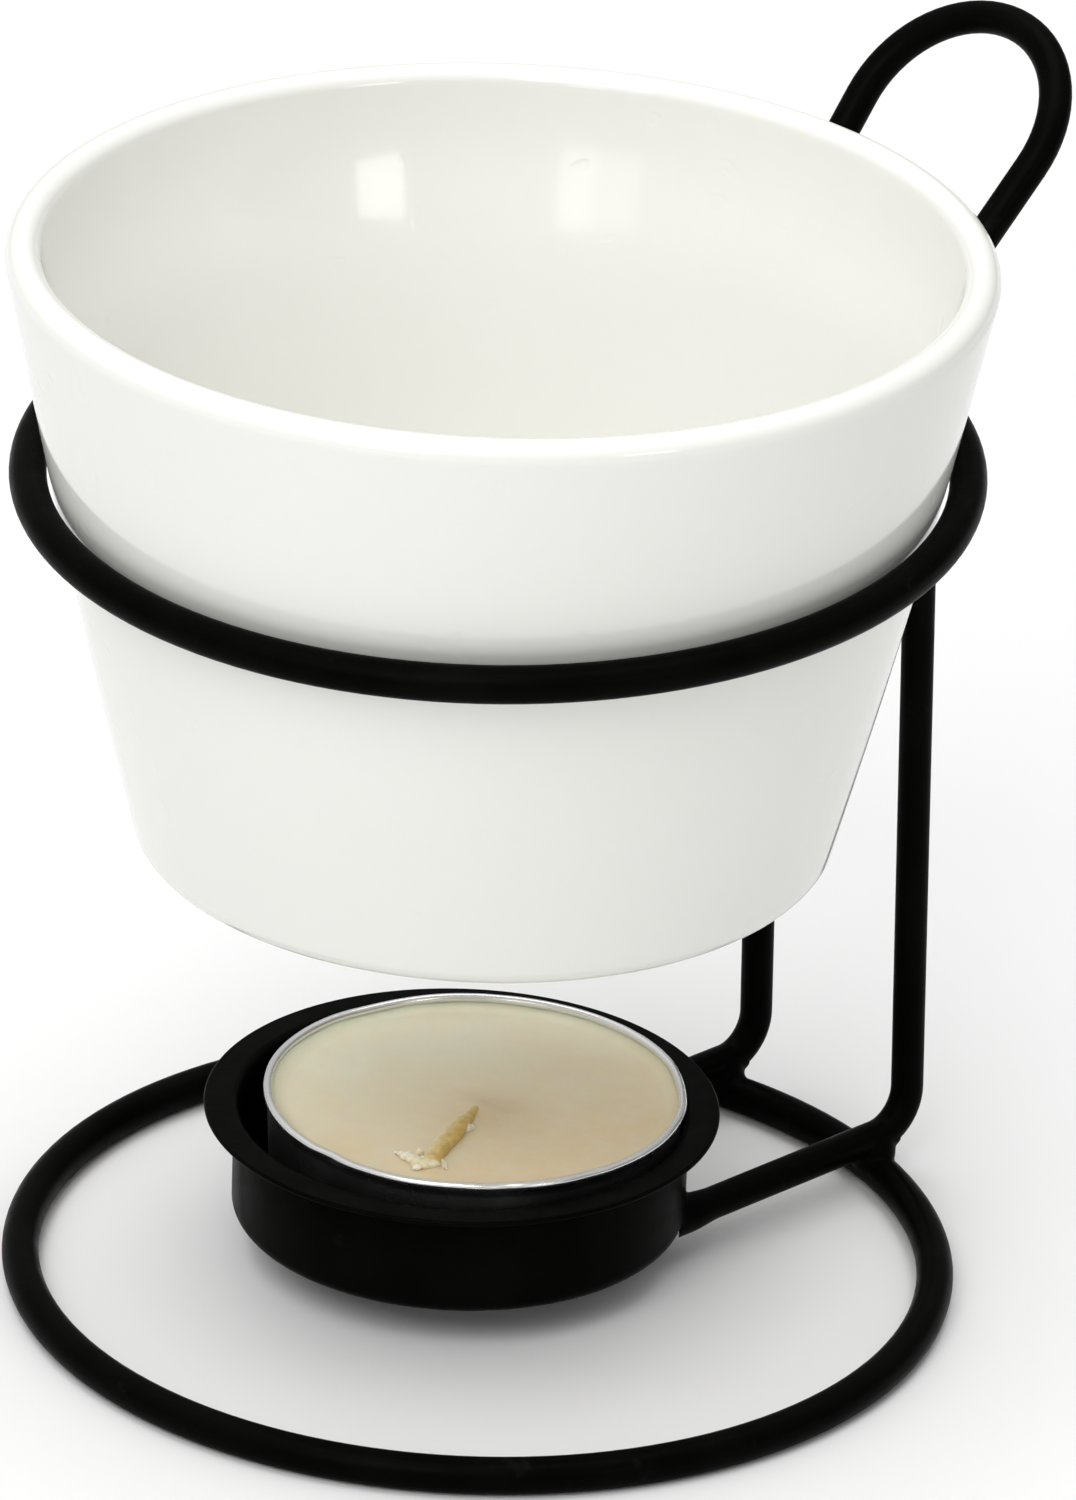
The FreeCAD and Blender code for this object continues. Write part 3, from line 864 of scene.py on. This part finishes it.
def cup_weld(side, material):
    """Where an arm's end meets the candle cup's wall, which it reaches at a slant."""
    low, high = (Vector(corner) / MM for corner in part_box("candle_cup"))
    centre = (low + high) / 2
    wall = (high.x - low.x) / 2 - CUP_FLANGE
    y = side * ARM_ACROSS
    turn = math.asin((y - centre.y) / wall)
    x = centre.x + wall * math.cos(turn)
    block_low = max(low.z + 1.0, ARM_HEIGHT - CUP_PATCH_RISE)
    block_high = ARM_HEIGHT + CUP_PATCH_RISE
    azimuth = math.degrees(turn)
    block = wall_block(centre, wall, azimuth, CUP_PATCH_HALF, block_low, block_high, CUP_WELD_DEPTH)
    arm = straight(Vector((x - 2.5, y, ARM_HEIGHT)), Vector((x + 4.5, y, ARM_HEIGHT)), 35)
    name = "weld_cup_left" if side > 0 else "weld_cup_right"

    def flared(row, angle):
        radius = FRAME_WIRE / 2 + CUP_FLARE * (1 - eased((row - 12) / 20))
        return radius, radius

    vertices, faces = tube(arm, flared, 32)
    for vertex in vertices:
        away = Vector((vertex.x - centre.x, vertex.y - centre.y, 0))
        vertex += away.normalized() * max(0.0, wall - CUP_WELD_DEPTH - away.length)
    parts = [block, (vertices, faces)]
    smoothed_union(name, parts, CUP_WELD_VOXEL, CUP_WELD_ROUNDS, material)


# Putting it together


def dress(node, material):
    """Gives a carried-over piece its material."""
    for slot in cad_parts[node].material_slots:
        slot.material = material


def dress_all():
    """Makes every material and every detailed piece."""
    black_wire = coating("black_coated_wire", 0.035 * MM)
    root = wick_root()
    ahead, left = wick_ways()
    cream_wax = wax(root * MM, (root + ahead * 1.5 - left * 2.2) * MM)
    cotton = wick_cotton(root * MM, left)
    crust = wax_crust()
    bright = aluminium()
    bowl(glaze(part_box("bowl")[0][2]))
    for node in ("base_ring", "bowl_ring", "handle_frame"):
        dress(node, black_wire)
    dress("candle_cup", coating("black_coated_sheet", 0.025 * MM))
    dress("wick_sustainer", steel())
    tealight_shell(bright)
    candle_wax(cream_wax)
    folded_wick(cotton)
    frayed_end(crust)
    wax_crumbs(crust)
    for side in (-1, 1):
        base_weld(side, black_wire)
        ring_weld(side, black_wire)
        cup_weld(side, black_wire)


def floor():
    mesh = bpy.data.meshes.new("floor")
    half = 3.0
    corners = [(-half, -half, 0), (half, -half, 0), (half, half, 0), (-half, half, 0)]
    mesh.from_pydata(corners, [], [(0, 1, 2, 3)])
    ground = bpy.data.objects.new("floor", mesh)
    bpy.context.scene.collection.objects.link(ground)
    mesh.materials.append(pale_floor())


def area_light(name, place, size, power):
    """Soft rectangular light aimed at the middle of the object."""
    data = bpy.data.lights.new(name, "AREA")
    data.shape = "RECTANGLE"
    data.size, data.size_y = size
    data.energy = power
    holder = bpy.data.objects.new(name, data)
    holder.location = place
    holder.rotation_mode = "QUATERNION"
    holder.rotation_quaternion = (Vector(LIGHT_AIM) - Vector(place)).to_track_quat("-Z", "Y")
    bpy.context.scene.collection.objects.link(holder)


def studio():
    """Soft light: a sky that brightens to one side, a key, a large top light and three small windows."""
    world = bpy.data.worlds.new("studio")
    world.use_nodes = True
    tree = world.node_tree
    background = tree.nodes["Background"]
    background.inputs["Color"].default_value = (1, 1, 1, 1)
    towards = tree.nodes.new("ShaderNodeVectorMath")
    towards.operation = "DOT_PRODUCT"
    towards.inputs[1].default_value = SKY_SIDE
    rise = tree.nodes.new("ShaderNodeMapRange")
    rise.inputs["From Min"].default_value = SKY_START
    rise.inputs["To Min"].default_value = SKY_DIM
    rise.inputs["To Max"].default_value = SKY_BRIGHT
    tree.links.new(tree.nodes.new("ShaderNodeTexCoord").outputs["Generated"], towards.inputs[0])
    tree.links.new(towards.outputs["Value"], rise.inputs["Value"])
    tree.links.new(rise.outputs["Result"], background.inputs["Strength"])
    bpy.context.scene.world = world
    area_light("key", (-0.75, -0.35, 0.9), (0.6, 0.6), 4.8)
    area_light("top", (0.1, 0.1, 1.5), (1.3, 1.3), 13.2)
    area_light("window", (-0.201, -1.146, 0.437), (0.27, 0.2), 0.7)
    area_light("soft_window", (-1.03, -0.53, 0.42), (0.20, 0.22), 0.18)
    area_light("soft_window_wide", (-1.10, -0.42, 0.43), (0.46, 0.26), 0.45)
    bpy.context.scene.view_settings.view_transform = "Standard"


camera()
dress_all()
floor()
studio()
